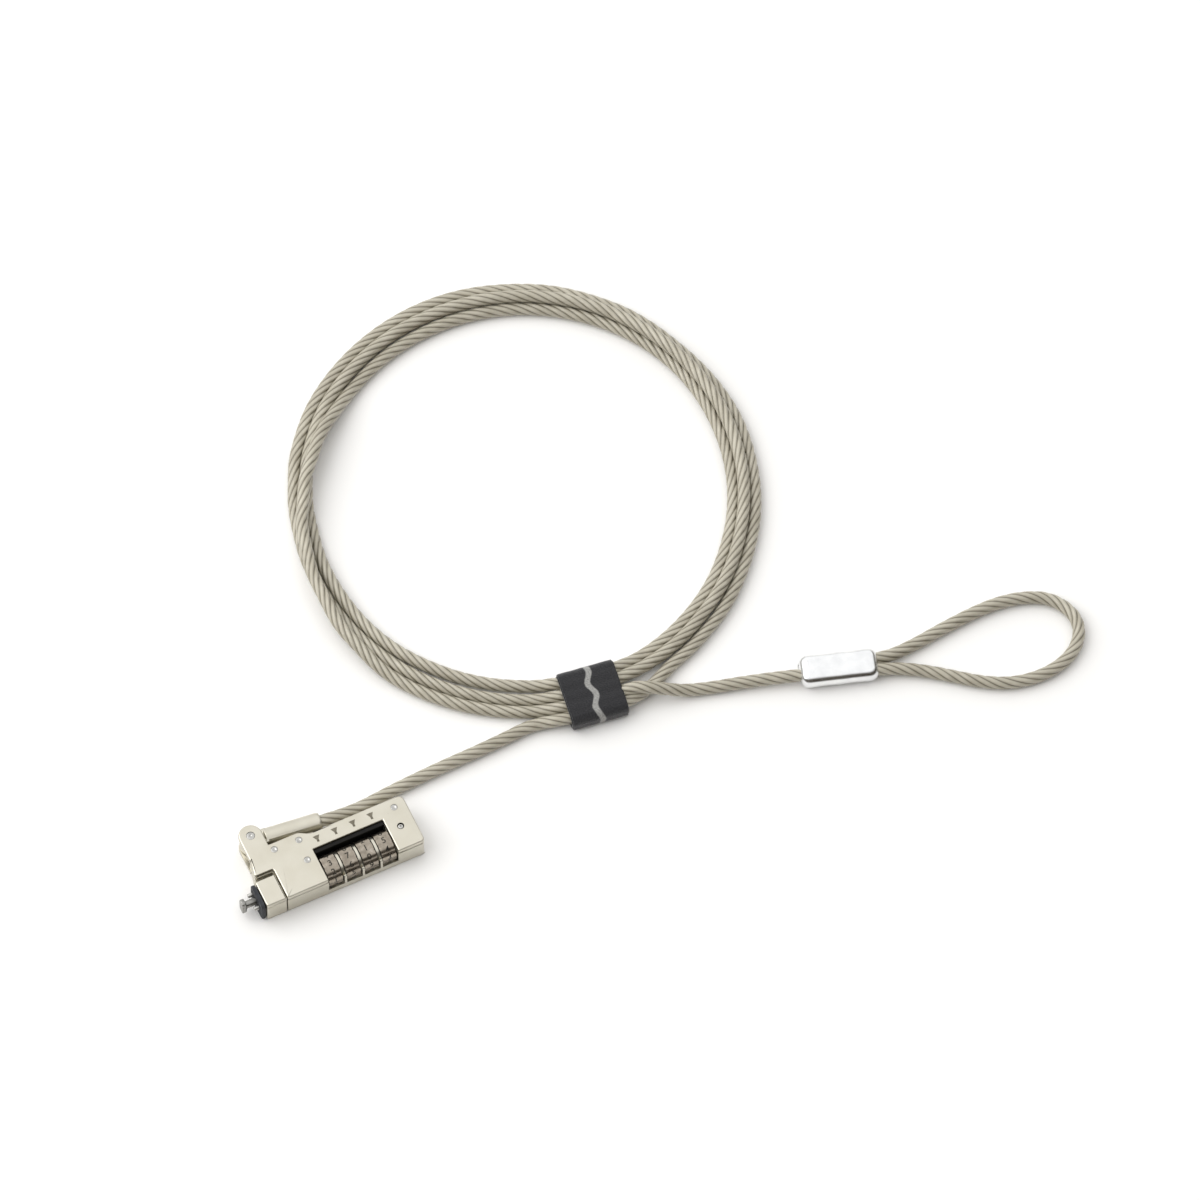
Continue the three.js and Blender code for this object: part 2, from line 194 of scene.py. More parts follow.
# How each turn lies: its angle round from the strap in degrees, and its radius there.
turns = [
    [
        (0, 85.5), (7, 85.2), (24, 80.6), (35, 80), (60, 79), (90, 78.4), (120, 77.2), (140, 78.2), (160, 79),
        (185, 79.7), (225, 79.2), (240, 78.5), (252, 77.5), (265, 76.8), (285, 76.4), (360, 76.8),
    ],
    [
        (0, 76.8), (20, 76.4), (40, 75.7), (70, 75), (120, 74.6), (150, 75.2), (190, 75.5), (225, 75.1),
        (240, 74.4), (252, 73.2), (265, 72.3), (300, 71.9), (320, 71.4), (340, 71.4), (360, 72.4),
    ],
    [
        (0, 72.4), (15, 72.3), (40, 71.8), (60, 71.4), (90, 71.5), (120, 72.1), (160, 71.8), (200, 71.1),
        (225, 70.9), (240, 72.2), (252, 74), (266, 76), (280, 77.6), (295, 79.6), (310, 81), (360, 81.2),
    ],
]
hop = 225    # from this angle on, the last turn climbs over the other two to the outside


def eased(keys, angle):
    for (a, low), (b, high) in zip(keys, keys[1:]):
        if angle <= b:
            share = (angle - a) / (b - a)
            return low + (high - low) * share * share * (3 - 2 * share)
    return keys[-1][1]


def restingOn(radius, below):
    height = cable["radius"] + 0.05
    for otherRadius, otherHeight in below:
        reach = (2 * cable["radius"]) ** 2 - (radius - otherRadius) ** 2
        if reach > 0:
            height = max(height, otherHeight + math.sqrt(reach))
    return height


def strapLift(angle):
    away = abs((angle + 180) % 360 - 180)
    share = min(1, max(0, (away - cable["liftFlat"]) / cable["liftFade"]))
    return cable["lift"] * (1 - share * share * (3 - 2 * share))


def turnHeights(angles):
    heights = {}
    for angle in angles:
        radii = [eased(keys, angle) for keys in turns]
        order = [0, 2, 1] if angle < hop else [0, 1, 2]
        below = []
        for turn in order:
            heights[turn, angle] = restingOn(radii[turn], below)
            below.append((radii[turn], heights[turn, angle]))
    smooth = {}
    for turn, angle in heights:
        near = [heights.get((turn, angle + s * cable["turnStep"]), 0) for s in (-2, -1, 0, 1, 2)]
        near = [height for height in near if height]
        smooth[turn, angle] = sum(near) / len(near)
    return smooth


def coilPoint(angle, radius, height):
    at = math.radians(cable["tieAngle"] + angle)
    return coilCentre + Vector((radius * math.cos(at), radius * math.sin(at), height)) * mm


def coilPoints():
    angles = range(0, 360, cable["turnStep"])
    heights = turnHeights(angles)
    points = [
        coilPoint(angle, eased(turns[turn], angle), heights[turn, angle] + strapLift(angle))
        for turn in range(len(turns)) for angle in angles
    ]
    last = turns[-1][-1][1]
    return points + [coilPoint(angle, last, cable["radius"] + cable["lift"]) for angle in (0, 4)]


def curved(points, spacing):
    dense = []
    count = len(points)
    for i in range(count - 1):
        a, b, c, d = points[max(i - 1, 0)], points[i], points[i + 1], points[min(i + 2, count - 1)]
        for s in range(12):
            t = s / 12
            dense.append(0.5 * (
                2 * b + (c - a) * t + (2 * a - 5 * b + 4 * c - d) * t ** 2
                + (3 * b - a - 3 * c + d) * t ** 3
            ))
    dense.append(points[-1])
    for _ in range(10):
        dense = [dense[0]] + [
            (p + 2 * q + r) / 4 for p, q, r in zip(dense, dense[1:], dense[2:])
        ] + [dense[-1]]
    along = [0.0]
    for p, q in zip(dense, dense[1:]):
        along.append(along[-1] + (q - p).length)
    steps = round(along[-1] / spacing)
    line, j = [], 0
    for i in range(steps + 1):
        wanted = along[-1] * i / steps
        while j < len(along) - 2 and along[j + 1] < wanted:
            j += 1
        share = (wanted - along[j]) / max(along[j + 1] - along[j], 1e-9)
        line.append(dense[j].lerp(dense[j + 1], share))
    return line, along[-1]


def cablePath():
    start = [place(*p) for p in leadRoute + joinRoute]
    end = [place(*p) for p in crossRoute + tailRoute + eyeRoute]
    return curved(start + coilPoints() + end, cable["step"] * mm)


def strandRadius(angle):
    crest = abs(math.cos(cable["strands"] / 2 * angle))
    return cable["radius"] - cable["groove"] * (1 - crest) ** 1.3


def makeCable():
    line, length = cablePath()
    mesh = bpy.data.meshes.new("security_cable")
    around = cable["around"]
    verts, faces, paintedShadeDepths, coords = [], [], [], []
    tangent = (line[1] - line[0]).normalized()
    side = tangent.cross(Vector((0, 0, 1))).normalized()
    for i, point in enumerate(line):
        ahead = (line[min(i + 1, len(line) - 1)] - line[max(i - 1, 0)]).normalized()
        side = (side - ahead * side.dot(ahead)).normalized()
        up = ahead.cross(side)
        twist = 2 * math.pi * i * length / mm / (len(line) - 1) / cable["lay"]
        for j in range(around):
            angle = 2 * math.pi * j / around
            radius = strandRadius(angle) * mm
            turned = angle + twist
            verts.append(point + (side * math.cos(turned) + up * math.sin(turned)) * radius)
            # Each vertex's depth into the groove between strands, used below to paint shade into the grooves.
            paintedShadeDepths.append((cable["radius"] - radius / mm) / cable["groove"])
            coords.append((turned / (2 * math.pi), i * length / mm / (len(line) - 1)))
    for i in range(len(line) - 1):
        for j in range(around):
            a, b = i * around + j, i * around + (j + 1) % around
            faces.append((a, b, b + around, a + around))
    last = (len(line) - 1) * around
    faces.append(tuple(range(around - 1, -1, -1)))
    faces.append(tuple(range(last, last + around)))
    mesh.from_pydata(verts, [], faces)
    # The groove attribute carries the painted shade of the grooves to the material.
    groove = mesh.attributes.new("groove", "FLOAT", "POINT")
    groove.data.foreach_set("value", paintedShadeDepths)
    layer = mesh.uv_layers.new(name="along")
    for polygon in mesh.polygons:
        base = min(coords[v][0] for v in polygon.vertices)
        for loop in polygon.loop_indices:
            vertex = mesh.loops[loop].vertex_index
            u, v = coords[vertex]
            if u - base > 0.5:
                u -= 1
            layer.data[loop].uv = (u, v)
    mesh.polygons.foreach_set("use_smooth", [True] * len(mesh.polygons))
    made = bpy.data.objects.new("security_cable", mesh)
    bpy.context.scene.collection.objects.link(made)
    made.data.materials.append(cableMaterial())
    return made, line, length


def cableMaterial():
    # Galvanised steel strands under clear vinyl: warm grey metal with painted shade darkening the grooves,
    # under a glossy coat.
    material, tree, shader = newMaterial("vinyl coated twisted steel", Metallic=0.4, Roughness=0.42)
    shader.inputs["Coat Weight"].default_value = 0.8
    shader.inputs["Coat Roughness"].default_value = 0.16
    shader.inputs["Coat IOR"].default_value = 1.53
    # Painted shade: the deeper into a groove between strands, the darker the colour.
    groove = addNode(tree, "ShaderNodeAttribute", {"attribute_name": "groove"})
    paintedGrooveShade = addNode(
        tree, "ShaderNodeValToRGB", links={"Fac": groove.outputs["Fac"]},
        stops=[(0.0, "cbc5b4"), (0.35, "b9b3a1"), (0.8, "928b79"), (1.0, "5e574a")],
    )
    where = addNode(tree, "ShaderNodeTexCoord")
    clouds = addNode(
        tree, "ShaderNodeTexNoise", inputs={"Scale": 180.0, "Detail": 3.0},
        links={"Vector": where.outputs["Object"]},
    )
    patch = addNode(
        tree, "ShaderNodeValToRGB", links={"Fac": clouds.outputs["Fac"]},
        stops=[(0.3, "c9c5bb"), (0.7, "ffffff")],
    )
    mixed = addNode(
        tree, "ShaderNodeMix", {"data_type": "RGBA", "blend_type": "MULTIPLY"}, {0: 0.45},
        {6: paintedGrooveShade.outputs["Color"], 7: patch.outputs["Color"]},
    )
    tree.links.new(mixed.outputs[2], shader.inputs["Base Color"])
    # Wires about 0.33 mm across lie slightly across the strands.
    along = addNode(tree, "ShaderNodeUVMap", {"uv_map": "along"})
    parts = addNode(tree, "ShaderNodeSeparateXYZ", links={"Vector": along.outputs["UV"]})
    lines = addNode(
        tree, "ShaderNodeMath", {"operation": "MULTIPLY"}, {1: cable["wires"] * 2 * math.pi},
        {0: parts.outputs["X"]},
    )
    slant = addNode(
        tree, "ShaderNodeMath", {"operation": "MULTIPLY_ADD"}, {1: cable["wireSlant"]},
        {0: parts.outputs["Y"], 2: lines.outputs[0]},
    )
    wave = addNode(tree, "ShaderNodeMath", {"operation": "SINE"}, links={0: slant.outputs[0]})
    raised = addNode(
        tree, "ShaderNodeBump", inputs={"Strength": 0.7, "Distance": 0.05 * mm},
        links={"Height": wave.outputs[0]},
    )
    tree.links.new(raised.outputs["Normal"], shader.inputs["Normal"])
    return material


securityCable, cableLine, cableLength = makeCable()
print("cable", round(cableLength, 4), "m")
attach(securityCable, "root")
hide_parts("cable_lead", "cable_coil", "cable_tail", "cable_eye")

# Materials of the lock head.
# tint is a noise scale per metre with its colours, rough a noise scale with the roughness from and to,
# grain the size and height in metres of the surface's own texture and how it stretches.
surfaces = {
    # Die-cast zinc, tumbled and nickel plated: warm, satin, with a faint cast ripple and rubbed patches.
    "nickel": {
        "name": "satin nickel on die-cast zinc", "metal": 1.0,
        "tint": (90, [(0.3, "c9c4b5"), (0.7, "d3cfc2")]),
        "rough": (420, 0.24, 0.4), "grain": (0.9 * mm, 0.012 * mm, (1, 1, 1)),
    },
    # Turned steel with fine rings left by the tool.
    "steel": {
        "name": "turned steel", "metal": 1.0, "tint": (700, [(0.3, "a9a8a4"), (0.75, "c4c3bf")]),
        "rough": (900, 0.24, 0.36), "grain": (0.12 * mm, 0.004 * mm, (1, 0.15, 0.15)),
    },
    # Hardened spindle steel, darker from the heat treatment.
    "tBar": {
        "name": "hardened steel", "metal": 1.0, "tint": (700, [(0.3, "7d7c78"), (0.75, "a8a7a3")]),
        "rough": (900, 0.28, 0.4), "grain": (0.12 * mm, 0.004 * mm, (1, 0.15, 0.15)),
    },
    # Bare spring steel, grey and slightly dulled.
    "spring": {
        "name": "spring steel", "metal": 1.0, "tint": (500, [(0.3, "85837f"), (0.75, "a3a19c")]),
        "rough": (900, 0.26, 0.4), "grain": (0.15 * mm, 0.004 * mm, (1, 1, 1)),
    },
    # Black-nickel plated dials, glossy on the lands and paler where thumbs rub.
    "dial": {
        "name": "black nickel dial", "metal": 1.0,
        "tint": (500, [(0.25, "857c70"), (0.55, "a39a8d"), (0.8, "bcb4a8")]),
        "rough": (900, 0.2, 0.36), "grain": (0.25 * mm, 0.006 * mm, (1, 1, 1)),
    },
    # Moulded acetal, matt, coloured nearly black as painted shadow of the deep gap behind the dials.
    "strip": {
        "name": "acetal strip painted black as gap shadow", "metal": 0.0, "shine": 0.2,
        "tint": (400, [(0.3, "0b0a08"), (0.8, "1a1813")]),
        "rough": (800, 0.5, 0.7), "grain": (0.4 * mm, 0.02 * mm, (1, 1, 1)),
    },
    # Bluish black moulded rubber with a fine spark-eroded texture.
    "rubber": {
        "name": "collar rubber", "metal": 0.0, "shine": 0.4,
        "tint": (400, [(0.3, "26282d"), (0.8, "3d3f43")]),
        "rough": (800, 0.55, 0.75), "grain": (0.3 * mm, 0.03 * mm, (1, 1, 1)),
    },
    # Stamped brass, dulled by handling.
    "brass": {
        "name": "stamped brass", "metal": 1.0, "tint": (350, [(0.3, "8f7440"), (0.7, "b99b5a")]),
        "rough": (700, 0.3, 0.5), "grain": (0.5 * mm, 0.006 * mm, (1, 1, 1)),
    },
    # Drawn aluminium tube, pressed in dies: bright, with short drawing marks.
    "aluminium": {
        "name": "pressed aluminium ferrule", "metal": 1.0, "tint": (250, [(0.3, "e6e7e8"), (0.7, "f3f4f4")]),
        "rough": (600, 0.18, 0.3), "grain": (0.4 * mm, 0.003 * mm, (0.35, 1, 1)),
    },
    # Filled enamel of the digits.
    "ink": {
        "name": "dark enamel", "metal": 0.0, "shine": 0.3, "tint": (600, [(0.3, "1a1812"), (0.8, "353129")]),
        "rough": (800, 0.45, 0.6), "grain": (0.2 * mm, 0.01 * mm, (1, 1, 1)),
    },
    # Grey enamel of the index marks.
    "mark": {
        "name": "grey enamel", "metal": 0.0, "shine": 0.3, "tint": (600, [(0.3, "6a6456"), (0.8, "8a8474")]),
        "rough": (800, 0.45, 0.6), "grain": (0.2 * mm, 0.01 * mm, (1, 1, 1)),
    },
}


def surfaced(surface):
    material, tree, shader = newMaterial(surface["name"], Metallic=surface["metal"])
    if "shine" in surface:
        shader.inputs["Specular IOR Level"].default_value = surface["shine"]
    where = addNode(tree, "ShaderNodeTexCoord")
    scale, stops = surface["tint"]
    clouds = addNode(
        tree, "ShaderNodeTexNoise", inputs={"Scale": scale, "Detail": 5.0},
        links={"Vector": where.outputs["Object"]},
    )
    colour = addNode(tree, "ShaderNodeValToRGB", links={"Fac": clouds.outputs["Fac"]}, stops=stops)
    tree.links.new(colour.outputs["Color"], shader.inputs["Base Color"])
    scale, low, high = surface["rough"]
    wear = addNode(
        tree, "ShaderNodeTexNoise", inputs={"Scale": scale, "Detail": 4.0},
        links={"Vector": where.outputs["Object"]},
    )
    spread = addNode(
        tree, "ShaderNodeMapRange", inputs={"To Min": low, "To Max": high},
        links={"Value": wear.outputs["Fac"]},
    )
    tree.links.new(spread.outputs["Result"], shader.inputs["Roughness"])
    size, height, stretch = surface["grain"]
    turned = addNode(
        tree, "ShaderNodeMapping", inputs={"Scale": stretch}, links={"Vector": where.outputs["Object"]},
    )
    texture = addNode(
        tree, "ShaderNodeTexNoise", inputs={"Scale": 1 / size, "Detail": 3.0},
        links={"Vector": turned.outputs["Vector"]},
    )
    raised = addNode(
        tree, "ShaderNodeBump", inputs={"Distance": height}, links={"Height": texture.outputs["Fac"]},
    )
    tree.links.new(raised.outputs["Normal"], shader.inputs["Normal"])
    return material


looks = {key: surfaced(surface) for key, surface in surfaces.items()}


def setLook(made, look):
    made.data.materials.clear()
    made.data.materials.append(looks[look])


# Rounded pieces of the lock head.
def roundedCopy(node, piece, body, look, width, keep=None, segments=3, cuts=()):
    bpy.ops.object.select_all(action="DESELECT")
    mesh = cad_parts[node].data.copy()
    made = bpy.data.objects.new(piece, mesh)
    bpy.context.scene.collection.objects.link(made)
    bpy.context.view_layer.objects.active = made
    made.select_set(True)
    bpy.ops.object.mode_set(mode="EDIT")
    bpy.ops.mesh.select_all(action="SELECT")
    bpy.ops.mesh.remove_doubles(threshold=0.002 * mm)
    bpy.ops.mesh.dissolve_limited(angle_limit=math.radians(0.6))
    for x in cuts:
        # A cut through each hole keeps every flat face free of rings.
        bpy.ops.mesh.select_all(action="SELECT")
        bpy.ops.mesh.bisect(plane_co=place(x, 0), plane_no=(1, 0, 0), threshold=0.001 * mm)
    bpy.ops.object.mode_set(mode="OBJECT")
    shape = bmesh.new()
    shape.from_mesh(mesh)
    weight = shape.edges.layers.float.new("bevel_weight_edge")
    for edge in shape.edges:
        if len(edge.link_faces) != 2 or edge.calc_face_angle(0) < math.radians(40):
            continue
        middle = ((edge.verts[0].co + edge.verts[1].co) / 2 - corner) / mm
        edge[weight] = 1.0 if keep is None else float(keep(middle))
    shape.to_mesh(mesh)
    shape.free()
    bevel = made.modifiers.new("edge rounding", "BEVEL")
    bevel.limit_method = "WEIGHT"
    bevel.width = width * mm
    bevel.segments = segments
    bevel.use_clamp_overlap = False
    bpy.ops.object.modifier_apply(modifier=bevel.name)
    bpy.ops.object.shade_smooth_by_angle(angle=math.radians(32))
    flats = made.modifiers.new("flat faces", "WEIGHTED_NORMAL")
    flats.keep_sharp = True
    bpy.ops.object.modifier_apply(modifier=flats.name)
    setLook(made, look)
    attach(made, body)
    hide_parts(node)
    return made


housing = {
    "edge": 0.5, "seam": (8.3, 8.6), "bay": (22.45, 48.15), "bayBack": 16.8,
    "holes": [(10.7, 17.4), (19.1, 9.2), (19.6, 17.1), (53.6, 14.6), (5.6, 25.4), (52.7, 7.4)],
    "holeClear": 1.9, "tick": (13.5, 16.4), "cuts": (5.6, 10.7, 19.35, 25.4, 32, 38.6, 45.2, 53.15),
}


def clearOfHoles(p):
    return all(math.hypot(p.x - x, p.y - y) > housing["holeClear"] for x, y in housing["holes"])


def inBay(p):
    return housing["bay"][0] - 0.1 < p.x < housing["bay"][1] + 0.1 and -0.7 < p.y < housing["bayBack"]


def lowerEdges(p):
    atFace = p.z < 0.1 or abs(p.z - housing["seam"][0]) < 0.1
    return atFace and clearOfHoles(p) and not inBay(p) and p.x > 0.4


def coverEdges(p):
    onTick = housing["tick"][0] < p.y < housing["tick"][1] and housing["bay"][0] < p.x < housing["bay"][1]
    return clearOfHoles(p) and not onTick and p.x > 0.4


def makeHousing():
    roundedCopy(
        "housing_lower", "lower_casting", "head", "nickel", housing["edge"], lowerEdges,
        cuts=housing["cuts"],
    )
    roundedCopy(
        "housing_cover", "cover_casting", "head", "nickel", housing["edge"], coverEdges,
        cuts=housing["cuts"],
    )


makeHousing()
roundedCopy(
    "slider_grip", "grip_block", "collar", "nickel", housing["edge"],
    lambda p: p.z < 0.1 or p.z > 10.5,
)
roundedCopy(
    "collar_pad", "collar_cushion", "collar", "rubber", 0.3, lambda p: abs(p.y - 4.2) > 3.6,
)
roundedCopy(
    "t_bar_spindle", "t_bar", "head", "tBar", 0.3,
    lambda p: p.x < -5.8 and abs(p.x + 6.65) > 0.7,
)
roundedCopy(
    "swivel_arm", "cable_arm", "root", "nickel", 0.25,
    lambda p: p.z > 7.9 or p.z < 2.95, cuts=(5.6,),
)
print("head castings rounded")


# Rivets, pins and index marks.
def turnedPiece(piece, at, profile, body, look, nodes=(), sides=40, turn=(0, 0, 0)):
    # A turned piece is drawn up from a disc, ring by ring: profile is (radius, height) from bottom to top.
    bpy.ops.object.select_all(action="DESELECT")
    radius, height = profile[0]
    bpy.ops.mesh.primitive_circle_add(
        vertices=sides, radius=radius * mm, fill_type="NGON", location=(0, 0, height * mm),
    )
    made = bpy.context.object
    made.name = made.data.name = piece
    bpy.ops.object.mode_set(mode="EDIT")
    bpy.ops.mesh.select_all(action="SELECT")
    for nextRadius, nextHeight in profile[1:]:
        bpy.ops.mesh.extrude_region_move(TRANSFORM_OT_translate={"value": (0, 0, (nextHeight - height) * mm)})
        share = nextRadius / radius
        bpy.ops.transform.resize(value=(share, share, 1), center_override=(0, 0, nextHeight * mm))
        radius, height = nextRadius, nextHeight
    bpy.ops.mesh.select_all(action="SELECT")
    bpy.ops.mesh.normals_make_consistent(inside=False)
    bpy.ops.object.mode_set(mode="OBJECT")
    bpy.ops.object.transform_apply(location=True, rotation=True, scale=True)
    made.location = at
    made.rotation_euler = turn
    bpy.ops.object.transform_apply(location=True, rotation=True, scale=True)
    bpy.ops.object.shade_smooth_by_angle(angle=math.radians(35))
    setLook(made, look)
    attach(made, body)
    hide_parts(*nodes)
    return made


def centreOf(node):
    low, high = boxOf[node]
    return Vector(((low.x + high.x) / 2, (low.y + high.y) / 2, 0))


# Peened rivet heads: a flat rim that fills the hole, with a shallow dish left by the punch.
rivetProfile = [
    (0.9, 4.3), (0.9, 8.7), (1.16, 8.9), (1.16, 10.42), (1.1, 10.52), (0.98, 10.56),
    (0.62, 10.56), (0.5, 10.5), (0.3, 10.44), (0.05, 10.42),
]
for number in range(1, 5):
    node = f"cover_rivet_{number}"
    turnedPiece(f"rivet_{number}", centreOf(node), rivetProfile, "head", "steel", [node])
pivotProfile = [
    (1.1, 0.3), (1.2, 0.4), (1.2, 8.8), (1.46, 9.0), (1.46, 10.3), (1.36, 10.46), (1.1, 10.52),
    (0.5, 10.52), (0.42, 10.46), (0.2, 10.4), (0.05, 10.38),
]
turnedPiece("pivot", centreOf("pivot_pin"), pivotProfile, "head", "steel", ["pivot_pin"])
resetProfile = [
    (0.8, 4.3), (0.9, 4.4), (0.9, 10.1), (0.82, 10.24), (0.6, 10.3), (0.34, 10.3), (0.26, 10.22),
    (0.24, 9.9), (0.05, 9.86),
]
turnedPiece(
    "reset_plunger", centreOf("reset_pin"), resetProfile, "reset", "steel", ["reset_pin"],
)


def guardPins():
    profile = [(0.55, 0), (0.7, 0.1), (0.75, 0.25), (0.75, 4.95), (0.65, 5.1)]
    for number in (1, 2):
        low, high = boxOf[f"guard_pin_{number}"]
        tip = Vector((low.x, (low.y + high.y) / 2, (low.z + high.z) / 2))
        turnedPiece(
            f"guard_{number}", tip, profile, "collar", "steel", [f"guard_pin_{number}"], 28,
            (0, math.pi / 2, 0),
        )


guardPins()

marks = {
    "arrow": 1.45, "arrowBack": 0.48, "arrowTop": 10.62, "dialFirst": 25.4, "pitch": 6.6, "width": 0.7,
    "from": 13.75, "to": 16.15, "low": 10.32, "top": 10.5,
}


def indexMarks():
    # One filled line and arrow over each dial shows which row makes the code.
    bpy.ops.object.select_all(action="DESELECT")
    middle, thick = (marks["from"] + marks["to"]) / 2, marks["arrowTop"] - marks["low"]
    pieces = []
    for number in range(4):
        x = marks["dialFirst"] + number * marks["pitch"]
        bpy.ops.mesh.primitive_cube_add(size=mm, location=place(x, middle, (marks["low"] + marks["top"]) / 2))
        line = bpy.context.object
        line.scale = (marks["width"], marks["to"] - marks["from"], marks["top"] - marks["low"])
        bpy.ops.mesh.primitive_cylinder_add(
            vertices=3, radius=marks["arrow"] * mm, depth=thick * mm, rotation=(0, 0, math.pi),
            location=place(x, middle + marks["arrowBack"], marks["low"] + thick / 2),
        )
        pieces += [line, bpy.context.object]
    for made in pieces:
        made.select_set(True)
    bpy.ops.object.transform_apply(location=True, rotation=True, scale=True)
    bpy.context.view_layer.objects.active = pieces[0]
    bpy.ops.object.join()
    made = bpy.context.object
    made.name = made.data.name = "index_marks"
    bevel = made.modifiers.new("soft edges", "BEVEL")
    bevel.width = 0.05 * mm
    bevel.segments = 2
    bpy.ops.object.modifier_apply(modifier=bevel.name)
    setLook(made, "mark")
    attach(made, "head")


indexMarks()
print("rivets, pins and marks ready")


# Dials and their digits.
dialShape = {
    "lands": 10, "radius": 5.3, "axis": (4.9, 5.6), "rim": 4.6, "edge": 0.16,
    "digitHeight": 2.3, "fontScale": 1.35, "bolder": 0.03, "proud": 0.012, "deep": 0.1, "slice": 0.26, "shown": (3, 7, 1, 5),
}


def digitMesh(digit):
    bpy.ops.object.select_all(action="DESELECT")
    bpy.ops.object.text_add(location=(0, 0, 0))
    text = bpy.context.object
    text.data.body = str(digit)
    text.data.size = dialShape["digitHeight"] * dialShape["fontScale"]
    text.data.resolution_u = 3
    text.data.align_x = "CENTER"
    text.data.align_y = "CENTER"
    text.data.offset = dialShape["bolder"]
    bpy.ops.object.convert(target="MESH")
    made = bpy.context.object
    shape = bmesh.new()
    shape.from_mesh(made.data)
    ys = [vert.co.y for vert in shape.verts]
    xs = [vert.co.x for vert in shape.verts]
    shift = Vector(((min(xs) + max(xs)) / 2, (min(ys) + max(ys)) / 2, 0))
    for vert in shape.verts:
        vert.co -= shift
    for step in range(-4, 5):
        bmesh.ops.bisect_plane(
            shape, geom=shape.verts[:] + shape.edges[:] + shape.faces[:],
            plane_co=(0, step * dialShape["slice"], 0), plane_no=(0, 1, 0),
        )
    bmesh.ops.remove_doubles(shape, verts=shape.verts, dist=0.01)
    outline = [(vert.co.x, vert.co.y) for vert in shape.verts]
    faces = [[vert.index for vert in face.verts] for face in shape.faces]
    shape.free()
    bpy.data.objects.remove(made)
    return outline, faces


def makeDigits():
    glyphs = [digitMesh(digit) for digit in range(10)]
    for number in range(1, 5):
        low, high = boxOf[f"dial_{number}"]
        centre = (low + high) / 2
        verts, faces = [], []
        for land in range(dialShape["lands"]):
            outline, glyphFaces = glyphs[(dialShape["shown"][number - 1] - land) % 10]
            middle = math.pi / 2 + land * 2 * math.pi / dialShape["lands"]
            top = dialShape["radius"] + dialShape["proud"]
            first = len(verts)
            for radius in (top, top - dialShape["deep"]):
                for x, y in outline:
                    angle = middle - y / dialShape["radius"]
                    spot = Vector((x, radius * math.cos(angle), radius * math.sin(angle)))
                    verts.append(centre + spot * mm)
            count = len(outline)
            edges = {}
            for face in glyphFaces:
                faces.append([first + v for v in face])
                faces.append([first + count + v for v in reversed(face)])
                for a, b in zip(face, face[1:] + face[:1]):
                    edges[a, b] = True
            for a, b in edges:
                if (b, a) not in edges:
                    faces.append([first + b, first + a, first + count + a, first + count + b])
        mesh = bpy.data.meshes.new(f"dial_digits_{number}")
        mesh.from_pydata(verts, [], faces)
        made = bpy.data.objects.new(f"dial_digits_{number}", mesh)
        bpy.context.scene.collection.objects.link(made)
        shape = bmesh.new()
        shape.from_mesh(mesh)
        bmesh.ops.recalc_face_normals(shape, faces=shape.faces)
        shape.to_mesh(mesh)
        shape.free()
        setLook(made, "ink")
        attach(made, f"dial_{number}")


def makeDials():
    y, z = dialShape["axis"]
    for number in range(1, 5):
        ends = [(side.x - corner.x) / mm for side in boxOf[f"dial_{number}"]]

        def atRim(p):
            onEnd = min(abs(p.x - end) for end in ends) < 0.05
            return onEnd and math.hypot(p.y - y, p.z - z) > dialShape["rim"]

        roundedCopy(
            f"dial_{number}", f"code_dial_{number}", f"dial_{number}", "dial",
            dialShape["edge"], atRim, 2,
        )


makeDials()
makeDigits()
print("dials ready")

# The strip is coloured near-black as painted shadow of the gap behind the dials.
for node, look in {
    "anti_shim_strip": "strip", "detent_spring": "spring", "reset_spring": "spring", "spindle_nut": "steel",
    "locking_sleeve": "steel", "code_cam_1": "brass", "code_cam_2": "brass", "code_cam_3": "brass",
    "code_cam_4": "brass",
}.items():
    setLook(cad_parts[node], look)


# Bands: the strap and the crimp.
def roundedLoop(x, y, radius, spacing):
    # A closed rounded rectangle as (point, outward normal) pairs, evenly spaced.
    corners = [(x[1] - radius, y[1] - radius, 0), (x[0] + radius, y[1] - radius, 90),
               (x[0] + radius, y[0] + radius, 180), (x[1] - radius, y[0] + radius, 270)]
    loop = []
    for index, (cx, cy, start) in enumerate(corners):
        count = max(4, round(radius * math.pi / 2 / spacing))
        for i in range(count + 1):
            angle = math.radians(start + 90 * i / count)
            normal = Vector((math.cos(angle), math.sin(angle)))
            loop.append((Vector((cx, cy)) + normal * radius, normal))
        nx, ny, _ = corners[(index + 1) % 4]
        there = Vector((nx, ny)) + normal * radius
        here = loop[-1][0]
        steps = max(1, round((there - here).length / spacing))
        for i in range(1, steps):
            loop.append((here.lerp(there, i / steps), normal))
    return loop


def bandSection(width, low, high, edge, across=18):
    # The band's own cross-section as (across, outward) pairs, with rounded edges.
    half = width / 2
    top = [(-half + edge + (width - 2 * edge) * i / across, high) for i in range(across + 1)]
    right = [(half - edge + edge * math.sin(a), high - edge + edge * math.cos(a)) for a in (0.4, 0.8, 1.2)]
    right += [(half - edge + edge * math.sin(a), low + edge + edge * math.cos(a)) for a in (1.9, 2.3, 2.7)]
    bottom = [(half - edge - (width - 2 * edge) * i / across, low) for i in range(across + 1)]
    left = [(-a, b) for a, b in reversed(right)]
    return top + right + bottom + left


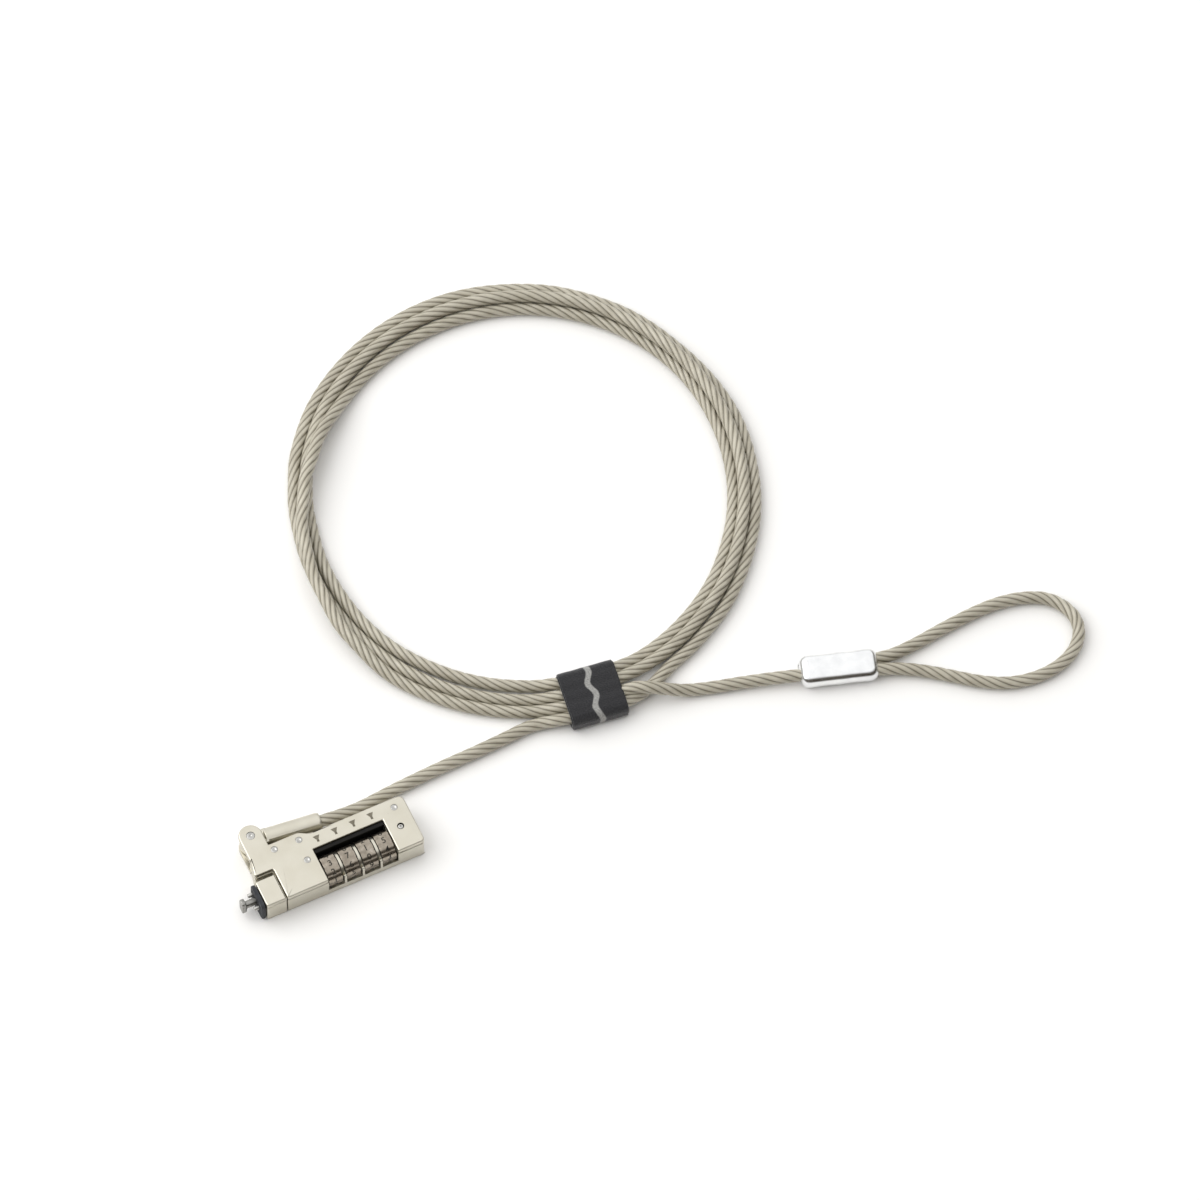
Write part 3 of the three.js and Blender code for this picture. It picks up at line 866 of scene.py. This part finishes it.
def makeBand(piece, loop, section, toWorld, shape, closed=True):
    mesh = bpy.data.meshes.new(piece)
    verts, faces, coords = [], [], []
    along = 0
    for i, (point, normal) in enumerate(loop):
        along += (point - loop[i - 1][0]).length if i else 0
        for across, outward in section:
            flat = point + normal * (outward + shape(i, across, outward, along))
            verts.append(toWorld(across, flat.x, flat.y))
            coords.append((across, along))
    count, rings = len(section), len(loop)
    for i in range(rings if closed else rings - 1):
        for j in range(count):
            a, b = i * count + j, i * count + (j + 1) % count
            c, d = (b + count) % (rings * count), (a + count) % (rings * count)
            faces.append((a, b, c, d))
    if not closed:
        faces += [tuple(range(count - 1, -1, -1)), tuple(range((rings - 1) * count, rings * count))]
    mesh.from_pydata(verts, [], faces)
    layer = mesh.uv_layers.new(name="round")
    for polygon in mesh.polygons:
        last = polygon.vertices[0] >= (rings - 1) * count if closed else False
        for loopIndex in polygon.loop_indices:
            vertex = mesh.loops[loopIndex].vertex_index
            u, v = coords[vertex]
            if last and vertex < count:
                v = along + (loop[0][0] - loop[-1][0]).length
            layer.data[loopIndex].uv = (u, v)
    made = bpy.data.objects.new(piece, mesh)
    bpy.context.scene.collection.objects.link(made)
    cleaned = bmesh.new()
    cleaned.from_mesh(mesh)
    bmesh.ops.recalc_face_normals(cleaned, faces=cleaned.faces)
    cleaned.to_mesh(mesh)
    cleaned.free()
    bpy.ops.object.select_all(action="DESELECT")
    bpy.context.view_layer.objects.active = made
    made.select_set(True)
    bpy.ops.object.shade_smooth_by_angle(angle=math.radians(50))
    return made


strap = {
    "flapFrom": 7, "flapShare": 0.88,
    "inner": 70.2, "outer": 87.8, "low": 1.4, "high": 6.4, "band": 0.85, "flap": 0.5, "width": 20,
    "round": 2.2, "stripe": 1.9, "wave": 0.8, "wavelength": 9.0, "thread": 0.5,
}


def strapPlace(across, radial, height):
    at = math.radians(cable["tieAngle"])
    outward = Vector((math.cos(at), math.sin(at), 0))
    along = Vector((-math.sin(at), math.cos(at), 0))
    return coilCentre + (outward * radial + along * across + Vector((0, 0, height))) * mm


def strapMaterial():
    # Hook-and-loop strap of black nylon: matt, fuzzy loops, with a pale zigzag woven down its middle.
    material, tree, shader = newMaterial("hook and loop nylon", Roughness=0.95)
    shader.inputs["Sheen Weight"].default_value = 0.35
    shader.inputs["Sheen Roughness"].default_value = 0.5
    where = addNode(tree, "ShaderNodeUVMap", {"uv_map": "round"})
    parts = addNode(tree, "ShaderNodeSeparateXYZ", links={"Vector": where.outputs["UV"]})
    cycles = addNode(
        tree, "ShaderNodeMath", {"operation": "MULTIPLY"}, {1: 2 * math.pi / strap["wavelength"]},
        {0: parts.outputs["Y"]},
    )
    swing = addNode(tree, "ShaderNodeMath", {"operation": "SINE"}, links={0: cycles.outputs[0]})
    offset = addNode(
        tree, "ShaderNodeMath", {"operation": "MULTIPLY_ADD"}, {1: strap["wave"]},
        {0: swing.outputs[0], 2: parts.outputs["X"]},
    )
    away = addNode(tree, "ShaderNodeMath", {"operation": "ABSOLUTE"}, links={0: offset.outputs[0]})
    fuzz = addNode(
        tree, "ShaderNodeTexNoise", inputs={"Scale": 1 / strap["thread"], "Detail": 4.0},
        links={"Vector": where.outputs["UV"]},
    )
    ragged = addNode(
        tree, "ShaderNodeMath", {"operation": "MULTIPLY_ADD"}, {1: 0.9},
        {0: fuzz.outputs["Fac"], 2: away.outputs[0]},
    )
    mask = addNode(
        tree, "ShaderNodeMapRange",
        inputs={
            "From Min": strap["stripe"] / 2 + 0.3, "From Max": strap["stripe"] / 2 + 0.7,
            "To Min": 1.0, "To Max": 0.0,
        },
        links={"Value": ragged.outputs[0]},
    )
    black = addNode(
        tree, "ShaderNodeValToRGB", links={"Fac": fuzz.outputs["Fac"]},
        stops=[(0.3, "161618"), (0.7, "2e2e31")],
    )
    pale = addNode(
        tree, "ShaderNodeValToRGB", links={"Fac": fuzz.outputs["Fac"]},
        stops=[(0.3, "7e7e7c"), (0.7, "adaca8")],
    )
    mixed = addNode(
        tree, "ShaderNodeMix", {"data_type": "RGBA"},
        links={0: mask.outputs["Result"], 6: black.outputs["Color"], 7: pale.outputs["Color"]},
    )
    tree.links.new(mixed.outputs[2], shader.inputs["Base Color"])
    raised = addNode(
        tree, "ShaderNodeBump", inputs={"Strength": 0.9, "Distance": 0.25 * mm},
        links={"Height": fuzz.outputs["Fac"]},
    )
    tree.links.new(raised.outputs["Normal"], shader.inputs["Normal"])
    return material


def makeStrap():
    # The inner band runs right round the strands, and the flap lies over most of it with two free ends.
    half = strap["band"] / 2
    xs = (strap["inner"] - half, strap["outer"] + half)
    ys = (strap["low"] - half, strap["high"] + half)
    loop = roundedLoop(xs, ys, strap["round"], 0.5)

    def sag(_, across, outward, along):
        ripple = 0.06 * math.sin(along * 1.43 + 0.5) + 0.04 * math.sin(across * 0.9 + along * 0.4)
        return ripple if outward > 0 else 0

    band = makeBand("strap_band", loop, bandSection(strap["width"], -half, half, 0.25), strapPlace, sag)
    outerHalf = half + strap["flap"]
    start = next(
        i for i, (point, normal) in enumerate(loop)
        if point.x < strap["outer"] - strap["flapFrom"] and normal.y < -0.9
    )
    flapLoop = (loop[start:] + loop[:start])[::-1]
    flapLoop = flapLoop[: int(len(flapLoop) * strap["flapShare"])]
    section = bandSection(strap["width"] - 0.8, half + 0.02, outerHalf, 0.18)

    def taper(i, across, outward, along):
        endings = min(i, len(flapLoop) - 1 - i) / 3
        drop = (1 - min(1, endings)) * 0.3
        return sag(i, across, outward, along) - (drop if outward > half + 0.2 else 0)

    flap = makeBand("strap_flap", flapLoop, section, strapPlace, taper, closed=False)
    material = strapMaterial()
    for made in (band, flap):
        made.data.materials.append(material)
        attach(made, "root")
    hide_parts("tie_strap")
    return band, flap


crimp = {
    "x": 212.6, "y": 1.4, "angle": -17.9, "length": 27, "width": 11.4, "tall": 7, "wall": 1.0, "edge": 0.4,
    "corner": 3.3, "waist": 0.12, "waistAt": 4.5, "cornerSteps": 10, "edgeSteps": 4,
}


def makeCrimp():
    # A bar is rounded along its length, its ends are inset and bridged for the bore, and its rims rounded.
    bpy.ops.object.select_all(action="DESELECT")
    bpy.ops.mesh.primitive_cube_add(size=mm)
    made = bpy.context.object
    made.name = made.data.name = "crimp_ferrule"
    made.scale = (crimp["length"], crimp["width"], crimp["tall"])
    bpy.ops.object.transform_apply(location=False, rotation=False, scale=True)
    bpy.ops.object.mode_set(mode="EDIT")
    bpy.ops.mesh.select_all(action="DESELECT")
    bpy.ops.object.mode_set(mode="OBJECT")
    for edge in made.data.edges:
        a, b = (made.data.vertices[v].co for v in edge.vertices)
        edge.select = abs(a.x - b.x) > mm
    bpy.ops.object.mode_set(mode="EDIT")
    bpy.ops.mesh.select_mode(type="EDGE")
    bpy.ops.mesh.bevel(offset=crimp["corner"] * mm, segments=crimp["cornerSteps"])
    for x in (-2 * crimp["waistAt"], -crimp["waistAt"], 0, crimp["waistAt"], 2 * crimp["waistAt"]):
        bpy.ops.mesh.select_all(action="SELECT")
        bpy.ops.mesh.bisect(plane_co=(x * mm, 0, 0), plane_no=(1, 0, 0), threshold=0.001 * mm)
    bpy.ops.object.mode_set(mode="OBJECT")
    for vertex in made.data.vertices:
        if abs(abs(vertex.co.x) - crimp["waistAt"] * mm) < 0.1 * mm:
            # The die leaves two shallow waists.
            vertex.co.y -= math.copysign(crimp["waist"] * mm, vertex.co.y)
            vertex.co.z -= math.copysign(crimp["waist"] * mm, vertex.co.z)
    bpy.ops.object.mode_set(mode="EDIT")
    bpy.ops.mesh.select_mode(type="FACE")
    bpy.ops.mesh.select_all(action="DESELECT")
    bpy.ops.object.mode_set(mode="OBJECT")
    for face in made.data.polygons:
        face.select = abs(face.normal.x) > 0.9
    bpy.ops.object.mode_set(mode="EDIT")
    bpy.ops.mesh.inset(thickness=crimp["wall"] * mm)
    bpy.ops.mesh.delete(type="ONLY_FACE")
    bpy.ops.mesh.select_mode(type="EDGE")
    bpy.ops.mesh.select_all(action="DESELECT")
    bpy.ops.mesh.select_non_manifold()
    bpy.ops.mesh.bridge_edge_loops()
    bpy.ops.mesh.select_all(action="SELECT")
    bpy.ops.mesh.normals_make_consistent(inside=False)
    bpy.ops.object.mode_set(mode="OBJECT")
    rim = made.modifiers.new("rounded rims", "BEVEL")
    rim.width = crimp["edge"] * mm
    rim.segments = crimp["edgeSteps"]
    rim.limit_method = "ANGLE"
    rim.angle_limit = math.radians(60)
    bpy.ops.object.modifier_apply(modifier=rim.name)
    made.location = place(crimp["x"], crimp["y"], crimp["tall"] / 2)
    made.rotation_euler = (0, 0, math.radians(crimp["angle"]))
    bpy.ops.object.transform_apply(location=True, rotation=True, scale=True)
    bpy.ops.object.shade_smooth_by_angle(angle=math.radians(40))
    setLook(made, "aluminium")
    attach(made, "root")
    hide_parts("crimp_sleeve")
    return made


strapBand, strapFlap = makeStrap()
crimpFerrule = makeCrimp()
print("strap and crimp ready")
